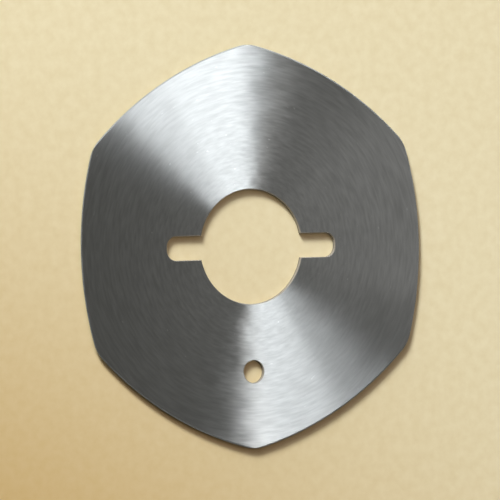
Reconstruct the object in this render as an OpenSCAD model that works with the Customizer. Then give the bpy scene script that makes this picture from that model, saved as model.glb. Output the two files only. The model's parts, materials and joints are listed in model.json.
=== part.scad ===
// Six-sided rotary cutter blade: one flat steel plate with a cutting edge all the way round.
// It lies on its ground underside at z = 0, with the smooth face up. Z is the axis of the bore,
// and Y runs through two opposite corners and the locating hole. All sizes are in millimetres.

/* [Outline] */
// Distance between opposite corners of the cutting edge, over their blunted tips
corner_d = 100; // [92:0.5:130]
// Radius of the arc that each side follows from corner to corner
side_arc_r = 86; // [70:1:300]
// How far the tip of each corner is blunted back from where its two arcs would meet
tip_cut = 0.3; // [0.1:0.05:0.5]
// Thickness of the steel
blade_t = 1.2; // [0.8:0.05:2.5]

/* [Cutting edge] */
// Width of the bevel that is ground into the underside
bevel_w = 3; // [1:0.1:5]
// Thickness that is left at the very edge
edge_t = 0.06; // [0.04:0.01:0.2]
// Width of the narrow strip that is honed onto the upper face
hone_w = 0.3; // [0.15:0.05:1]
// How far the honed strip falls below the upper face
hone_drop = 0.04; // [0.02:0.01:0.2]

/* [Hub bore] */
// Diameter of the central bore
bore_d = 28.5; // [20:0.1:36]
// Length of the two key slots together, from end to end across the bore
slot_span = 47; // [40:0.1:54]
// Width of the key slots
slot_w = 6; // [4.6:0.1:9]
// Corner radius at the ends of the key slots
slot_corner_r = 2.6; // [0.5:0.1:3]

/* [Locating hole] */
// Diameter of the locating hole
hole_d = 5.6; // [3:0.1:8]
// Distance from the centre of the bore to the centre of the locating hole
hole_offset = 31; // [26:0.1:36]

/* [Edge break] */
// Width of the small chamfer on the rims of the bore, slots and hole
break_w = 0.15; // [0.05:0.05:0.35]

/* [Hidden] */
$fn = 180;

sides = 6;
side_angle = 360 / sides;
// A cutter runs this far past the faces that it cuts
over = 1;

// Two arcs would meet this far from the centre of the blade
meeting_r = corner_d / 2 + tip_cut;
// Each side's arc is drawn from a centre this far behind the centre of the blade
half_chord = meeting_r * sin(side_angle / 2);
arc_back = sqrt(side_arc_r * side_arc_r - half_chord * half_chord)
    - meeting_r * cos(side_angle / 2);

// Height of the edge's lower corner, and how fast the bevel and the honed strip slope
bevel_h = blade_t - hone_drop - edge_t;
bevel_slope = bevel_h / bevel_w;
hone_slope = hone_drop / hone_w;

// The corner radius is never more than half the slot that it rounds
slot_r = min(slot_corner_r, slot_w / 2);
slot_flat_x = slot_span - 2 * slot_r;
slot_flat_y = slot_w - 2 * slot_r;

// Plain plate with the outline of the edge: what a disc for each side and one over the tips share
module blank() {
    linear_extrude(height = blade_t)
        intersection() {
            circle(d = corner_d);
            intersection_for (side = [0 : sides - 1])
                rotate([0, 0, side * side_angle])
                    translate([-arc_back, 0, 0])
                        circle(r = side_arc_r);
        }
}

// Stretch of a ring with the section of its children, for each side and past both its corners
module along_sides() {
    for (side = [0 : sides - 1])
        rotate([0, 0, side * side_angle])
            translate([-arc_back, 0, 0])
                rotate([0, 0, -side_angle / 2])
                    rotate_extrude(angle = side_angle)
                        children();
}

// What the grinding wheel takes off the underside
module bevels() {
    along_sides()
        polygon([
            [side_arc_r - bevel_w - over / bevel_slope, -over],
            [side_arc_r + over, -over],
            [side_arc_r + over, bevel_h + over * bevel_slope]
        ]);
}

// What the hone takes off the upper face
module honed_strips() {
    along_sides()
        polygon([
            [side_arc_r - hone_w, blade_t],
            [side_arc_r - hone_w, blade_t + over],
            [side_arc_r + over, blade_t + over],
            [side_arc_r + over, blade_t - hone_drop - over * hone_slope]
        ]);
}

// Bar whose section in Y and Z is a trapezium, its sides leaning out by flare over its height
module flared_bar(length, width, height, flare) {
    rotate([90, 0, 90])
        linear_extrude(height = length, center = true)
            polygon([
                [-width / 2, 0],
                [width / 2, 0],
                [width / 2 + flare, height],
                [-width / 2 - flare, height]
            ]);
}

// Both key slots as one solid with rounded corners, and with upright walls where flare is 0
module slots(height, flare) {
    flared_bar(slot_flat_x, slot_w, height, flare);
    if (slot_flat_y > 0)
        rotate([0, 0, 90])
            flared_bar(slot_flat_y, slot_span, height, flare);
    for (x = [-slot_flat_x / 2, slot_flat_x / 2], y = [-slot_flat_y / 2, slot_flat_y / 2])
        translate([x, y, 0])
            cylinder(h = height, r1 = slot_r, r2 = slot_r + flare);
}

// Bore, key slots and locating hole together
module openings(height, flare) {
    cylinder(h = height, d1 = bore_d, d2 = bore_d + 2 * flare);
    slots(height, flare);
    translate([0, -hole_offset, 0])
        cylinder(h = height, d1 = hole_d, d2 = hole_d + 2 * flare);
}

// Chamfers that break the rims of the openings on the upper face and on the underside
module rim_breaks() {
    depth = break_w + over;
    translate([0, 0, blade_t - break_w])
        openings(depth, depth);
    translate([0, 0, break_w])
        mirror([0, 0, 1])
            openings(depth, depth);
}

module blade() {
    color([0.64, 0.65, 0.66])
        difference() {
            blank();
            bevels();
            honed_strips();
            translate([0, 0, -over])
                openings(blade_t + 2 * over, 0);
            rim_breaks();
        }
}

blade();
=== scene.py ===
# %% [markdown]
# # A six-sided rotary cutter blade
# The real blade is one plate of hardened steel. It is stamped to shape, ground flat while it turns
# on its own axis, and sharpened by a bevel on the underside. So there is one piece to model, and
# nearly all of its look comes from the grinding: fine circles round the bore, which spread each
# lamp's reflection into a bright fan on two opposite sides of the bore.
#
# The lesson models the rim of one side, repeats it six times, fills the two faces, cuts the
# openings, and then gives each surface the finish that its tool left.

# %% Load the frame and keep its box
import json
import math

import bmesh
import bpy
from mathutils import Matrix, Vector


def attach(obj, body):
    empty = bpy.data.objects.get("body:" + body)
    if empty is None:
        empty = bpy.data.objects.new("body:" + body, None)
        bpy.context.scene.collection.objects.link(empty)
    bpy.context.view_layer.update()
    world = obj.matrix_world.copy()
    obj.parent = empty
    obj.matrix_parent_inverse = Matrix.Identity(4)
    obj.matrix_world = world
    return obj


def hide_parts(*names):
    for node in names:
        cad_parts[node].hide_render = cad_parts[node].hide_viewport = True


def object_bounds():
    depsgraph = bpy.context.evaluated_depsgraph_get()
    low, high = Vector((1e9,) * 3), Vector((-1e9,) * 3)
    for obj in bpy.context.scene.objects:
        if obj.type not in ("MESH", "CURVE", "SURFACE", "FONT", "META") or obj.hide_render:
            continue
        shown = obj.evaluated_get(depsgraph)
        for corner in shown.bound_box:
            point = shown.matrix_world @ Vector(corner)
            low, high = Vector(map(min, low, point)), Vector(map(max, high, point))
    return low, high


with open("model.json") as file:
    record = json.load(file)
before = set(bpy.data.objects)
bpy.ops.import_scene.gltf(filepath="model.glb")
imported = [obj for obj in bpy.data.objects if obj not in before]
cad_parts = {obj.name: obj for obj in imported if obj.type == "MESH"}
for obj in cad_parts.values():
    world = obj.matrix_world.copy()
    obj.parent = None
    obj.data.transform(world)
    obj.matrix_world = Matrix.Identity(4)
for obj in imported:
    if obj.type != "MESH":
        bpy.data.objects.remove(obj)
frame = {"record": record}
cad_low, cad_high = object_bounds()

print("CAD box in mm:", [round(c * 1000, 2) for c in (*cad_low, *cad_high)])

# %% [markdown]
# ## Sizes
# The outline's size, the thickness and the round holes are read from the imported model, so the
# modelled piece is the same size as the solid that it stands for. The record doesn't hold the
# ground edge and the slots, so these are named here, in metres.

# %% Sizes of the blade
MM = 0.001
record = frame["record"]
mounts = {m["name"]: m for m in record["mounts"]}

SIDES = 6
SIDE_ANGLE = math.radians(360 / SIDES)
tip_r = cad_high.y
thickness = cad_high.z
side_arc_r = 86 * MM
tip_cut = 0.3 * MM
bevel_w = 3 * MM
edge_t = 0.06 * MM
hone_w = 0.3 * MM
hone_drop = 0.04 * MM
bevel_h = thickness - hone_drop - edge_t

bore_r = mounts["hub_bore"]["dims"]["r_mm"] * MM
hole_r = mounts["locating_hole"]["dims"]["r_mm"] * MM
hole_centre = Vector(mounts["locating_hole"]["pos_m"])
slot_span = 47 * MM
slot_w = 6 * MM
slot_corner_r = 2.6 * MM
break_w = 0.15 * MM

# Two side arcs would meet at this radius, and each is drawn from a centre behind the bore
meeting_r = tip_r + tip_cut
half_chord = meeting_r * math.sin(SIDE_ANGLE / 2)
arc_back = math.sqrt(side_arc_r**2 - half_chord**2) - meeting_r * math.cos(SIDE_ANGLE / 2)
half_arc = math.asin(half_chord / side_arc_r)
# Two arcs meet at twice this angle, and the corner between them is rounded back to the tip
tip_half_turn = SIDE_ANGLE / 2 - half_arc
tip_round_r = tip_cut / (1 / math.cos(tip_half_turn) - 1)
print("side arc:", round(2 * math.degrees(half_arc), 1), "degrees from", round(arc_back / MM, 2), "mm back")

# %% [markdown]
# ## Small helpers
# Edit-mode operators act on whatever is selected, and the frame arrives with its nodes selected.
# So each piece starts with nothing selected, and each step selects its faces, edges or vertices by
# a test on their place or direction.

# %% Helpers for selecting and for modifiers
def start_piece(name):
    """Names the primitive that was just added, and opens it in edit mode."""
    piece = bpy.context.object
    piece.name = name
    piece.data.name = name
    bpy.ops.object.mode_set(mode="EDIT")
    return piece


def select(piece, kind, test):
    """In edit mode, selects only the verts, edges or faces that pass the test. Returns how many."""
    bpy.ops.mesh.select_mode(type={"verts": "VERT", "edges": "EDGE", "faces": "FACE"}[kind])
    mesh = bmesh.from_edit_mesh(piece.data)
    for group in (mesh.faces, mesh.edges, mesh.verts):
        for item in group:
            item.select = False
    chosen = [item for item in getattr(mesh, kind) if test(item)]
    for item in chosen:
        item.select_set(True)
    bmesh.update_edit_mesh(piece.data)
    return len(chosen)


def only(piece):
    """Leaves edit mode, and makes this piece the one selected object."""
    if bpy.context.object and bpy.context.object.mode == "EDIT":
        bpy.ops.object.mode_set(mode="OBJECT")
    bpy.ops.object.select_all(action="DESELECT")
    piece.select_set(True)
    bpy.context.view_layer.objects.active = piece


def apply_modifier(piece, kind, **settings):
    """Adds a modifier, sets it, and applies it at once."""
    only(piece)
    modifier = piece.modifiers.new(kind.title(), kind)
    for key, value in settings.items():
        setattr(modifier, key, value)
    bpy.ops.object.modifier_apply(modifier=modifier.name)


# %% [markdown]
# ## The rim of one side
# A wheel grinds each side of the real blade along an arc. The same motion draws it here: the
# section of the rim is a chain of four points, and Spin sweeps the chain round the arc's centre.
# One half of a side is enough, because Mirror makes the other half. The section starts on the
# smooth upper face, falls along the honed strip to the edge, and runs down the bevel to the
# underside.

# %% Draw the rim's section as a chain of points
STEPS = 36
bpy.ops.object.select_all(action="DESELECT")
bpy.ops.mesh.primitive_plane_add(size=MM, location=(0, 0, 0))
blade = start_piece("blade_steel_plate")
bpy.ops.mesh.select_all(action="SELECT")
bpy.ops.mesh.merge(type="CENTER")

section = [
    (side_arc_r - hone_w - arc_back, thickness),
    (side_arc_r - arc_back, thickness - hone_drop),
    (side_arc_r - arc_back, bevel_h),
    (side_arc_r - bevel_w - arc_back, 0),
]
bpy.ops.transform.translate(value=(section[0][0], 0, section[0][1]))
for (x0, z0), (x1, z1) in zip(section, section[1:]):
    bpy.ops.mesh.extrude_vertices_move(TRANSFORM_OT_translate={"value": (x1 - x0, 0, z1 - z0)})
print("section points in mm:", [(round(x / MM, 2), round(z / MM, 2)) for x, z in section])

# %% Spin it, mirror it, and trim it at both corners
NEAR = 1e-7
bpy.ops.mesh.select_all(action="SELECT")
bpy.ops.mesh.spin(steps=STEPS, angle=half_arc, center=(-arc_back, 0, 0), axis=(0, 0, 1))
apply_modifier(blade, "MIRROR", use_axis=(False, True, False), merge_threshold=1e-6)
bpy.ops.object.mode_set(mode="EDIT")
for toward in (-1, 1):
    across = (-math.sin(SIDE_ANGLE / 2), toward * math.cos(SIDE_ANGLE / 2), 0)
    bpy.ops.mesh.select_all(action="SELECT")
    bpy.ops.mesh.bisect(plane_co=(0, 0, 0), plane_no=across, clear_outer=True, threshold=NEAR)
only(blade)
lowest = [min(v.co[i] for v in blade.data.vertices) for i in range(3)]
highest = [max(v.co[i] for v in blade.data.vertices) for i in range(3)]
print("one side:", len(blade.data.polygons), "faces", [round(c / MM, 2) for c in (*lowest, *highest)])

# %% [markdown]
# ## Six sides and two faces
# Array repeats the side round the bore's axis. Its offset comes from an empty that is turned by a
# sixth of a turn, and the ends of neighbouring sides merge at the corners. That leaves an open
# hoop, so its two inner loops are filled, and the plate is closed.

# %% Repeat the side six times
bpy.ops.object.empty_add(rotation=(0, 0, SIDE_ANGLE))
turn = bpy.context.object
apply_modifier(
    blade, "ARRAY", count=SIDES, use_relative_offset=False, use_object_offset=True,
    offset_object=turn, use_merge_vertices=True, use_merge_vertices_cap=True, merge_threshold=1e-6,
)
bpy.data.objects.remove(turn)
print("six sides:", len(blade.data.polygons), "faces")

# %% Fill the two faces and round the six tips
bpy.ops.object.mode_set(mode="EDIT")
for level in (0, thickness):
    found = select(
        blade, "edges",
        lambda e: e.is_boundary and all(abs(v.co.z - level) < NEAR for v in e.verts),
    )
    bpy.ops.mesh.edge_face_add()
    print("filled a loop of", found, "edges")
TIP_CUTS = 5
for side in range(SIDES):
    bearing = (side + 0.5) * SIDE_ANGLE
    tip_centre = Vector((math.cos(bearing), math.sin(bearing), 0)) * (tip_r - tip_round_r)
    for cut in range(TIP_CUTS):
        lean = (2 * (cut + 1) / (TIP_CUTS + 1) - 1) * tip_half_turn
        outward = Vector((math.cos(bearing + lean), math.sin(bearing + lean), 0))
        bpy.ops.mesh.select_all(action="SELECT")
        bpy.ops.mesh.bisect(
            plane_co=tip_centre + outward * tip_round_r, plane_no=outward, use_fill=True,
            clear_outer=True, threshold=NEAR,
        )
bpy.ops.mesh.select_all(action="SELECT")
bpy.ops.mesh.normals_make_consistent(inside=False)
only(blade)
print("plate:", len(blade.data.polygons), "faces,", len(blade.data.vertices), "vertices")

# %% [markdown]
# ## Openings
# The real openings are punched through the flat strip. Here each punch is a primitive that stands
# through the plate, and a Boolean takes it away: a cylinder for the bore, a bar with rounded
# upright edges for the two key slots, and a thin cylinder for the locating hole.

# %% Punch the bore, the key slots and the locating hole
PUNCH_H = 10 * thickness
BORE_STEPS = 288
HOLE_STEPS = 96
SLOT_CORNER_STEPS = 16


def punch(cutter):
    """Takes the cutter's shape out of the blade."""
    apply_modifier(blade, "BOOLEAN", operation="DIFFERENCE", solver="EXACT", object=cutter)
    bpy.data.objects.remove(cutter)


bpy.ops.mesh.primitive_cylinder_add(vertices=BORE_STEPS, radius=bore_r, depth=PUNCH_H)
bore = bpy.context.object
bpy.ops.mesh.primitive_cube_add(size=1)
bar = start_piece("slot_punch")
bpy.ops.transform.resize(value=(slot_span, slot_w, PUNCH_H))
select(bar, "edges", lambda e: abs(e.verts[0].co.z - e.verts[1].co.z) > thickness)
bpy.ops.mesh.bevel(offset=slot_corner_r, segments=SLOT_CORNER_STEPS, affect="EDGES")
bpy.ops.object.mode_set(mode="OBJECT")
bpy.ops.mesh.primitive_cylinder_add(
    vertices=HOLE_STEPS, radius=hole_r, depth=PUNCH_H, location=(hole_centre.x, hole_centre.y, 0)
)
hole = bpy.context.object
for cutter in (bore, bar, hole):
    punch(cutter)
print("punched plate:", len(blade.data.polygons), "faces")

# %% [markdown]
# ## Broken rims and sharp borders
# Punching leaves a burr round each opening, and a quick pass with a stone rounds it off. Bevel does
# the same to the rims of the openings. The two flat faces are then bordered by sharp edges, so that
# smooth shading rounds the bore's wall and its rim, and leaves the faces flat.

# %% Break the rims of the openings
RIM_SEGMENTS = 3
FLAT = 0.999


def faces_up_or_down(face):
    return abs(face.normal.z) > FLAT


def faces_sideways(face):
    return abs(face.normal.z) < 1 - FLAT


only(blade)
bpy.ops.object.mode_set(mode="EDIT")
rims = select(
    blade, "edges",
    lambda e: any(map(faces_up_or_down, e.link_faces))
    and any(map(faces_sideways, e.link_faces)),
)
bpy.ops.mesh.bevel(offset=break_w, segments=RIM_SEGMENTS, profile=0.5, affect="EDGES")
print("rim edges broken:", rims)

# %% Mark the borders of the two faces sharp, and shade the rest smooth
SMOOTH_BELOW = math.radians(35)
select(blade, "faces", faces_up_or_down)
bpy.ops.mesh.region_to_loop()
bpy.ops.mesh.mark_sharp()
bpy.ops.mesh.select_all(action="SELECT")
bpy.ops.mesh.normals_make_consistent(inside=False)
only(blade)
bpy.ops.object.shade_smooth_by_angle(angle=SMOOTH_BELOW)
print("finished plate:", len(blade.data.polygons), "faces")

# %% [markdown]
# ## Colours and nodes
# Colours are written as the sRGB hex values that a paint program shows, and one function turns them
# to the linear values that the sockets hold. One more function adds a node, sets it and links it.

# %% Helpers for materials
def linear(hex_colour):
    """The linear RGBA of an sRGB hex colour."""
    parts = [int(hex_colour[i : i + 2], 16) / 255 for i in (0, 2, 4)]
    return tuple(c / 12.92 if c <= 0.04045 else ((c + 0.055) / 1.055) ** 2.4 for c in parts) + (1,)


def new_tree(name):
    """A new material with an empty node tree, and its output node."""
    material = bpy.data.materials.new(name)
    material.use_nodes = True
    material.node_tree.nodes.clear()
    return material, material.node_tree


def add(tree, kind, inputs=None, **settings):
    """Adds a node, sets its own settings, then sets or links each input by name or number."""
    node = tree.nodes.new("ShaderNode" + kind)
    for key, value in settings.items():
        setattr(node, key, value)
    for key, value in (inputs or {}).items():
        if isinstance(value, bpy.types.NodeSocket):
            tree.links.new(value, node.inputs[key])
        else:
            node.inputs[key].default_value = value
    return node


# %% [markdown]
# ## Steel ground in circles
# The faces are cold-rolled tool steel, ground by a belt while the blade spins, so the scratches are
# circles round the bore. Across a scratch the surface is rough, and along it the surface is smooth.
# The shader says the same with anisotropy: its tangent points away from the bore, across the
# scratches, and the reflection of a lamp spreads that way into a fan.
#
# No scratch is a perfect circle. Each is a short arc that strays a little. So one noise, about ten
# times longer round the bore than across it, turns the tangent, dents the surface and darkens the
# colour in its grooves, which is painted shade for the lamp light that a groove's walls hide. A
# broader noise turns the tangent and dulls the polish in patches, and a third one paints a few nicks
# lighter, as painted glints. A real scratch is about 0.02 mm wide. That is too fine to show, so the
# noise is drawn some thirty times as coarse.

# %% Noise that runs round the bore
SCRATCH_W = 0.65 * MM
SCRATCH_TURNS = 8


def round_the_bore(tree):
    """The direction away from the bore's axis, and the distance from it."""
    place = add(tree, "TexCoord").outputs["Object"]
    flat = add(tree, "VectorMath", {0: place, 1: (1, 1, 0)}, operation="MULTIPLY").outputs[0]
    away = add(tree, "VectorMath", {0: flat}, operation="NORMALIZE").outputs[0]
    distance = add(tree, "VectorMath", {0: flat}, operation="LENGTH").outputs["Value"]
    return away, distance


def circular_streaks(tree, away, distance, turns, width, detail=2.0):
    """Noise in arcs round the bore: turns sets how short the arcs are, and width how wide."""
    across = add(tree, "Math", {0: distance, 1: 1 / width}, operation="MULTIPLY").outputs[0]
    turn = add(tree, "VectorMath", {0: away, 1: (turns, turns, 0)}, operation="MULTIPLY").outputs[0]
    lift = add(tree, "CombineXYZ", {"Z": across}).outputs[0]
    coordinate = add(tree, "VectorMath", {0: turn, 1: lift}, operation="ADD").outputs[0]
    noise = add(tree, "TexNoise", {"Vector": coordinate, "Scale": 1.0, "Detail": detail})
    return noise.outputs["Fac"]


def spread(tree, value, low, high, start=0.3, stop=0.7):
    """Spreads a noise value, which stays mostly between start and stop, over a range."""
    return add(
        tree, "MapRange", {0: value, 1: start, 2: stop, 3: low, 4: high}, clamp=True
    ).outputs[0]


def sum_of(tree, first, second):
    return add(tree, "Math", {0: first, 1: second}, operation="ADD").outputs[0]


print("scratches", SCRATCH_W / MM, "mm wide, and", round(tip_r / SCRATCH_TURNS / MM, 1), "mm long")

# %% Ground steel of the two faces
# The groove colour is painted shade: the scratches' grooves are drawn darker for the lamp light that their
# walls hide.
STEEL_LAND = "D5D5D3"
STEEL_GROOVE_PAINTED_SHADE = "C1C1BF"
# The nick colour is a painted glint, lighter than the steel round it.
NICK_PAINTED_GLINT = "EAEAE8"
NICK_TURNS = 24
NICKS_FROM, NICKS_TO = 0.81, 0.91
PATCH_W = 5 * MM
PATCH_TURNS = 3
SCRATCH_STRAY = 0.035
PATCH_STRAY = 0.03
GROUND_ROUGHNESS = (0.28, 0.30)
SCRATCH_DEPTH = 0.01 * MM


def ground_steel():
    """Cold-rolled tool steel, belt-ground in circles: fans of light, broken into short streaks, with
    painted shade in the grooves and painted glints on a few nicks.
    """
    material, tree = new_tree("circle_ground_tool_steel")
    away, distance = round_the_bore(tree)
    fine = circular_streaks(tree, away, distance, SCRATCH_TURNS, SCRATCH_W)
    patches = circular_streaks(tree, away, distance, PATCH_TURNS, PATCH_W)
    nicks = circular_streaks(tree, away, distance, NICK_TURNS, SCRATCH_W, detail=0.0)

    along = add(tree, "VectorMath", {0: (0, 0, 1), 1: away}, operation="CROSS_PRODUCT").outputs[0]
    stray = sum_of(
        tree, spread(tree, fine, -SCRATCH_STRAY, SCRATCH_STRAY),
        spread(tree, patches, -PATCH_STRAY, PATCH_STRAY),
    )
    wander = add(tree, "VectorMath", {0: along, 3: stray}, operation="SCALE").outputs[0]
    tangent = add(tree, "VectorMath", {0: away, 1: wander}, operation="ADD").outputs[0]

    # Painted shade: the streaks' grooves are coloured darker than their lands.
    shade = add(
        tree, "Mix", {0: spread(tree, fine, 0, 1), 6: linear(STEEL_GROOVE_PAINTED_SHADE), 7: linear(STEEL_LAND)},
        data_type="RGBA",
    ).outputs[2]
    # Painted glints: a few nicks get the lighter colour.
    bright = spread(tree, nicks, 0, 1, NICKS_FROM, NICKS_TO)
    with_painted_glints = add(
        tree, "Mix", {0: bright, 6: shade, 7: linear(NICK_PAINTED_GLINT)}, data_type="RGBA"
    ).outputs[2]
    bump = add(tree, "Bump", {"Height": fine, "Strength": 0.1, "Distance": SCRATCH_DEPTH})
    steel = add(tree, "BsdfPrincipled", {
        "Base Color": with_painted_glints,
        "Metallic": 1.0,
        "Roughness": spread(tree, patches, *GROUND_ROUGHNESS),
        "Anisotropic": 1.0,
        "Tangent": tangent,
        "Normal": bump.outputs[0],
    })
    add(tree, "OutputMaterial", {"Surface": steel.outputs[0]})
    return material


face_steel = ground_steel()
print("made", face_steel.name)

# %% [markdown]
# ## The ground edge
# A fine wheel grinds the bevel and then hones the strip above it. It runs across the edge, not
# along it, so the scratches stand square to the edge, and they are closer than those on the faces.
# The steel is drawn a shade darker and duller here. The pattern is the same noise, now many times
# narrower round the bore than across it. A real one of these scratches is under 0.01 mm wide, so
# this noise too is drawn over twenty-five times as coarse.

# %% Honed steel of the bevel and the strip
EDGE_SCRATCH_W = 0.25 * MM
EDGE_SCRATCH_L = 12 * EDGE_SCRATCH_W
EDGE_STEEL = "B2B2B0"
EDGE_STEEL_DARK = "9C9C9A"
EDGE_ROUGHNESS = (0.40, 0.48)


def honed_steel():
    """Hardened steel off a fine grinding wheel: close scratches that cross the edge."""
    material, tree = new_tree("wheel_honed_edge_steel")
    away, distance = round_the_bore(tree)
    fine = circular_streaks(tree, away, distance, tip_r / EDGE_SCRATCH_W, EDGE_SCRATCH_L)
    shade = add(
        tree, "Mix", {0: spread(tree, fine, 0, 1), 6: linear(EDGE_STEEL_DARK), 7: linear(EDGE_STEEL)},
        data_type="RGBA",
    ).outputs[2]
    bump = add(tree, "Bump", {"Height": fine, "Strength": 0.15, "Distance": SCRATCH_DEPTH})
    steel = add(tree, "BsdfPrincipled", {
        "Base Color": shade,
        "Metallic": 1.0,
        "Roughness": spread(tree, fine, *EDGE_ROUGHNESS),
        "Normal": bump.outputs[0],
    })
    add(tree, "OutputMaterial", {"Surface": steel.outputs[0]})
    return material


edge_steel = honed_steel()
print("made", edge_steel.name)

# %% [markdown]
# ## The punched walls
# A punch shears each opening. Where it enters, it rubs the wall smooth and leaves fine upright
# lines. Lower down the steel tears away and stays coarse and dull. The rims are broken by a quick
# stone, and share the finish of the wall beside them. So the finish changes with height, across a
# border that isn't quite level. The real lines are about 0.04 mm apart, and are drawn five times as
# coarse so that they show.

# %% Sheared steel of the openings' walls
SHEAR_LINE_W = 0.2 * MM
TEAR_W = 0.3 * MM
TEAR_TOP = 0.5 * MM
TEAR_WAVE = 0.12 * MM
TEAR_BLEND = 0.03 * MM
TEAR_DEPTH = 0.02 * MM
# The lines' pattern changes this many times as fast up the wall as across it
LINE_STRETCH = 0.08
TORN_ROUGHNESS, SHEARED_ROUGHNESS = 0.65, 0.42
# Both wall colours carry a warm tint that is painted reflection of the cream paper. The torn one is darker
# for its own duller finish.
SHEARED_STEEL = "9A968E"
TORN_STEEL = "7E7A72"


def sheared_steel():
    """Punched steel: rubbed smooth near the top, torn and dull near the bottom."""
    material, tree = new_tree("punched_wall_steel")
    place = add(tree, "TexCoord").outputs["Object"]
    height = add(tree, "SeparateXYZ", {0: place}).outputs["Z"]
    upright = add(
        tree, "VectorMath", {0: place, 1: (1, 1, LINE_STRETCH)}, operation="MULTIPLY"
    ).outputs[0]
    lines = add(
        tree, "TexNoise", {"Vector": upright, "Scale": 1 / SHEAR_LINE_W, "Detail": 2.0}
    ).outputs["Fac"]
    tears = add(
        tree, "TexNoise", {"Vector": place, "Scale": 1 / TEAR_W, "Detail": 4.0}
    ).outputs["Fac"]
    border = sum_of(tree, height, spread(tree, tears, -TEAR_WAVE, TEAR_WAVE))
    smooth = spread(tree, border, 0, 1, TEAR_TOP - TEAR_BLEND, TEAR_TOP + TEAR_BLEND)
    # Painted reflection: the wall's warm tint stands for light off the cream paper.
    shade = add(
        tree, "Mix", {0: smooth, 6: linear(TORN_STEEL), 7: linear(SHEARED_STEEL)}, data_type="RGBA"
    ).outputs[2]
    relief = add(tree, "Mix", {0: smooth, 2: tears, 3: lines}).outputs[0]
    bump = add(tree, "Bump", {"Height": relief, "Strength": 0.4, "Distance": TEAR_DEPTH})
    steel = add(tree, "BsdfPrincipled", {
        "Base Color": shade,
        "Metallic": 0.4,
        "Roughness": spread(tree, smooth, TORN_ROUGHNESS, SHEARED_ROUGHNESS, 0, 1),
        "Normal": bump.outputs[0],
    })
    add(tree, "OutputMaterial", {"Surface": steel.outputs[0]})
    return material


wall_steel = sheared_steel()
print("made", wall_steel.name)

# %% [markdown]
# ## A finish for each surface
# The blade is one piece, and its faces carry three finishes. All of them start as ground faces.
# The faces out at the rim then get the honed finish, and what is left, the walls and the broken
# rims of the openings, gets the sheared one.

# %% Give each surface its finish
blade.data.materials.clear()
for finish in (face_steel, edge_steel, wall_steel):
    blade.data.materials.append(finish)

nearest_side = tip_r * math.cos(SIDE_ANGLE / 2)
rim_from = nearest_side - 2 * bevel_w


def near_the_rim(face):
    return not faces_up_or_down(face) and face.calc_center_median().to_2d().length > rim_from


def in_an_opening(face):
    return not faces_up_or_down(face) and face.calc_center_median().to_2d().length < rim_from


only(blade)
bpy.ops.object.mode_set(mode="EDIT")
for index, test in ((1, near_the_rim), (2, in_an_opening)):
    found = select(blade, "faces", test)
    blade.active_material_index = index
    bpy.ops.object.material_slot_assign()
    print(blade.data.materials[index].name, "on", found, "faces")
only(blade)
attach(blade, "root")
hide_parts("blade")

# %% [markdown]
# ## Camera
# The blade lies flat and the camera looks down on it through a long lens. The photograph shows the
# round bore narrower than it is high, so the camera leans to one side by the angle that gives that
# width. It is turned a little about the upright too, because the slots don't lie quite level.

# %% Camera
IMAGE_H_PX = 500
PX_PER_MM = 4.035
SQUEEZE = 0.885
VIEW_H = IMAGE_H_PX / PX_PER_MM * MM
LEAN = math.acos(SQUEEZE)
TURN = math.radians(-1.35)
LENS_MM = 800
SENSOR_MM = 36
BORE_RIGHT_PX, BORE_UP_PX = 1.3, 3.4

camera_data = bpy.data.cameras.new("camera")
camera_data.lens = LENS_MM
camera_data.sensor_width = SENSOR_MM
camera_distance = VIEW_H * LENS_MM / SENSOR_MM
camera = bpy.data.objects.new("camera", camera_data)
bpy.context.scene.collection.objects.link(camera)
bpy.context.scene.camera = camera
aim_x = -BORE_RIGHT_PX / (PX_PER_MM * SQUEEZE) * MM
aim = Matrix.Translation((aim_x, -BORE_UP_PX / PX_PER_MM * MM, thickness))
back_off = Matrix.Translation((0, 0, camera_distance))
camera.matrix_world = (
    Matrix.Rotation(TURN, 4, "Z") @ aim @ Matrix.Rotation(-LEAN, 4, "Y") @ back_off
)
camera_data.clip_end = 4 * camera_distance
print("camera", round(camera_distance, 2), "m away, leaning", round(math.degrees(LEAN), 1), "degrees")

# %% [markdown]
# ## Floor and light
# The blade lies on plain cream paper. Towards one corner it is painted darker and browner, as
# painted shade. Its fibres gather in faint clouds of a few millimetres. The lamps have two separate
# jobs.
#
# - Three light the paper. The shadow lamp stands low, up and to the left, and throws the short
#   shadows. A much larger one round it gives them soft tails, and a weak warm one overhead fills them.
# - Four are seen only in the steel. The scratches spread each of them into a pair of fans, and a
#   lamp's direction sets the way that its fans point. The wide, distant one makes the middle of the
#   two bright fans. The small one overhead and the one in front widen them, one to each side. The
#   side lamp stands very near the blade and lifts the dark field on its right.

# %% Paper floor
FLOOR_W = 6
PAPER = "F1E9C5"
PAPER_FIBRE = "EAE0B9"
# The shade colour is painted shade: the sheet is drawn darker and browner towards one corner.
PAPER_PAINTED_SHADE = "BA8F30"
FIBRE_W = 2.5 * MM
FIBRE_DEPTH = 0.05 * MM
# The painted shade is full up to the first distance from this place, and gone beyond the second
SHADE_PLACE = (-174 * MM, -260 * MM, 0)
SHADE_FROM, SHADE_TO = 132 * MM, 358 * MM


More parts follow.
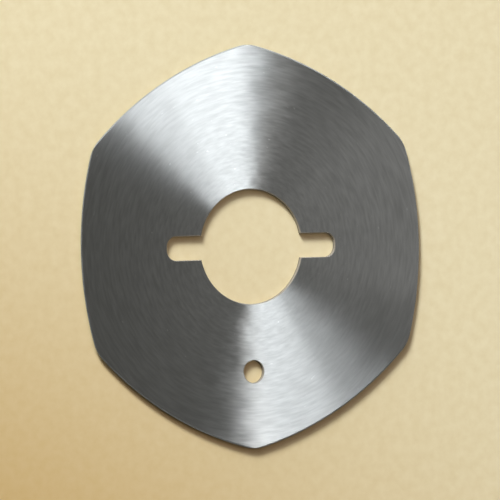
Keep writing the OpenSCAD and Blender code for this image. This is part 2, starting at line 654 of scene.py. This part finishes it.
def cream_paper():
    """Uncoated paper: soft mottling from its fibres, and painted shade that makes it darker and browner on
    one side.
    """
    material, tree = new_tree("uncoated_cream_paper")
    place = add(tree, "TexCoord").outputs["Object"]
    fibres = add(
        tree, "TexNoise", {"Vector": place, "Scale": 1 / FIBRE_W, "Detail": 4.0}
    ).outputs["Fac"]
    sheet = add(
        tree, "Mix", {0: spread(tree, fibres, 0, 1), 6: linear(PAPER), 7: linear(PAPER_FIBRE)},
        data_type="RGBA",
    ).outputs[2]
    away = add(tree, "VectorMath", {0: place, 1: SHADE_PLACE}, operation="DISTANCE").outputs["Value"]
    shade = add(
        tree, "MapRange", {0: away, 1: SHADE_FROM, 2: SHADE_TO, 3: 1, 4: 0},
        interpolation_type="SMOOTHSTEP",
    ).outputs[0]
    # Painted shade: the sheet darkens and browns towards SHADE_PLACE.
    colour = add(
        tree, "Mix", {0: shade, 6: sheet, 7: linear(PAPER_PAINTED_SHADE)}, data_type="RGBA"
    ).outputs[2]
    bump = add(tree, "Bump", {"Height": fibres, "Strength": 0.1, "Distance": FIBRE_DEPTH})
    paper = add(
        tree, "BsdfPrincipled",
        {"Base Color": colour, "Roughness": 0.9, "Normal": bump.outputs[0]},
    )
    add(tree, "OutputMaterial", {"Surface": paper.outputs[0]})
    return material


bpy.ops.object.select_all(action="DESELECT")
bpy.ops.mesh.primitive_plane_add(size=FLOOR_W, location=(0, 0, 0))
floor = bpy.context.object
floor.name = "paper_floor"
floor.data.materials.append(cream_paper())
print("floor", FLOOR_W, "m wide, of", floor.data.materials[0].name)

# %% Lamps and world
def lamp(name, bearing, height, distance, width, depth, watts, colour, **seen_by):
    """An area lamp aimed at the bore. bearing and height are its direction in degrees."""
    data = bpy.data.lights.new(name, "AREA")
    data.shape = "RECTANGLE"
    data.size = width
    data.size_y = depth
    data.energy = watts
    data.color = linear(colour)[:3]
    item = bpy.data.objects.new(name, data)
    bpy.context.scene.collection.objects.link(item)
    a, h = math.radians(bearing), math.radians(height)
    way = Vector((math.cos(a) * math.cos(h), math.sin(a) * math.cos(h), math.sin(h)))
    item.location = way * distance
    item.rotation_mode = "QUATERNION"
    item.rotation_quaternion = way.to_track_quat("Z", "Y")
    item.visible_camera = False
    for key, value in seen_by.items():
        setattr(item, "visible_" + key, value)


# Each row: name, bearing and height in degrees, distance, width and depth in metres, watts, colour
PAPER_LAMPS = [
    ("shadow_lamp", 121, 24.5, 3.0, 0.65, 0.65, 114, "FFFFFF"),
    ("halo_lamp", 121, 24, 3.0, 2.2, 2.2, 56, "FFFFFF"),
    ("fill_lamp", 90, 80, 1.5, 1.2, 1.2, 3.7, "FFD4B4"),
]
STEEL_LAMPS = [
    ("gloss_lamp", 61.9, 52.1, 1.018, 0.456, 0.089, 4.9, "F4FAFF"),
    ("small_gloss_lamp", 52.6, 68.1, 0.236, 0.067, 0.03, 0.0353, "F4FAFF"),
    ("side_lamp", 7.2, 44.3, 0.13, 0.068, 0.089, 0.0058, "FFFFFF"),
    ("front_lamp", -65.7, 21.5, 0.199, 0.038, 0.043, 0.076, "FFFFFF"),
]
for row in PAPER_LAMPS:
    lamp(*row, glossy=False)
for row in STEEL_LAMPS:
    lamp(*row, diffuse=False)
print(len(PAPER_LAMPS), "lamps for the paper and", len(STEEL_LAMPS), "for the steel")

ROOM = "FFFFF3"
ROOM_STRENGTH = 0.058
world = bpy.data.worlds.new("dim_room")
bpy.context.scene.world = world
world.use_nodes = True
world.node_tree.nodes.clear()
room = add(world.node_tree, "Background", {"Color": linear(ROOM), "Strength": ROOM_STRENGTH})
add(world.node_tree, "OutputWorld", {"Surface": room.outputs[0]})
bpy.context.scene.view_settings.view_transform = "Standard"
